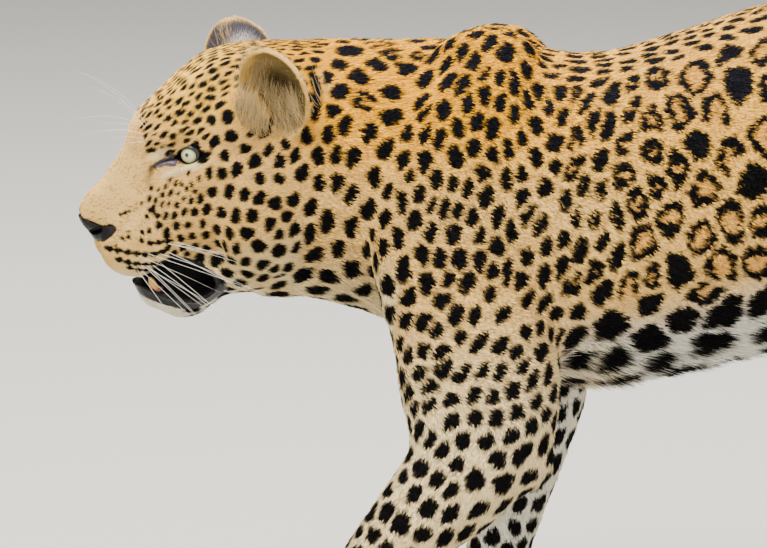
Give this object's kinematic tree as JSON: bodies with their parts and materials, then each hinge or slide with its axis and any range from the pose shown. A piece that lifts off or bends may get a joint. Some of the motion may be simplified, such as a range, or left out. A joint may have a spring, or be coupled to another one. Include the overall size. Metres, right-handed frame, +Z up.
{
  "type": "leopard",
  "caption": "Spotted big cat walking with lowered head, open lips and upcurved tail, life size, standing on its four paws.",
  "frame": {"origin": "on the floor, in the middle of the bottom of the bounding box", "axes": "+Z up, the animal faces -X and its left side faces -Y"},
  "size_m": [1.7866, 0.3088, 0.6929],
  "materials": {
    "fur": "short dense coat, golden with dark spots and rosettes",
    "nose_leather": "bare moist skin",
    "eye": "wet and clear",
    "ivory": "smooth yellowed enamel"
  },
  "bodies": {
    "root": {"head": "fur", "lower_jaw": "fur", "nose": "nose_leather", "ear_left": "fur", "ear_right": "fur", "eye_left": "eye", "eye_right": "eye", "tooth_lower_left": "ivory", "tooth_lower_right": "ivory", "neck": "fur", "torso": "fur", "hindquarters": "fur", "tail_root": "fur", "tail_middle": "fur", "tail_end": "fur", "tail_tip": "fur", "foreleg_left": "fur", "foreleg_right": "fur", "forepaw_left": "fur", "forepaw_right": "fur", "hindleg_left": "fur", "hindleg_right": "fur", "hindpaw_left": "fur", "hindpaw_right": "fur"}
  },
  "joints": []
}
